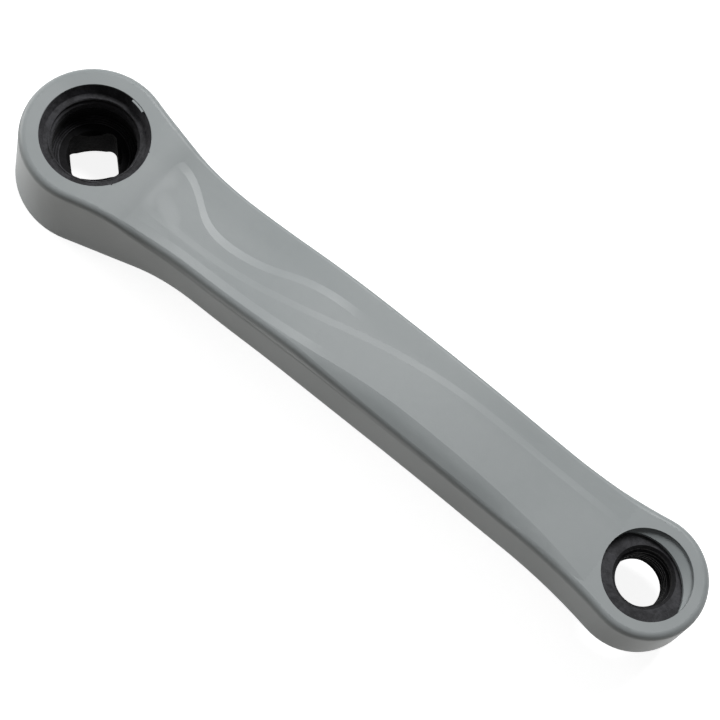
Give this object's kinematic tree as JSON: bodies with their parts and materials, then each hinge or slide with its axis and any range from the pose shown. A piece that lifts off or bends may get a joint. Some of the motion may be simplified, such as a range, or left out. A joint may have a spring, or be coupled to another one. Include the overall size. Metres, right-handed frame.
{
  "type": "bicycle crank arm",
  "caption": "Arched left bicycle crank arm: steel core with square taper boss and pedal eye, moulded in a grey plastic jacket with a sculpted front.",
  "frame": {"origin": "centre of the core's rear boss face, on the bottom bracket axis", "axes": "+X from the bottom bracket axis to the pedal axis, +Z along the bottom bracket axis to the front of the arm, away from the bicycle"},
  "size_m": [0.2057, 0.0392, 0.0254],
  "materials": {
    "coated_steel": "black dip coating, slightly rough, machined bores coated too",
    "jacket_plastic": "satin grey moulded thermoplastic"
  },
  "bodies": {
    "root": {"steel_arm": "coated_steel", "plastic_jacket": "jacket_plastic"}
  },
  "joints": []
}
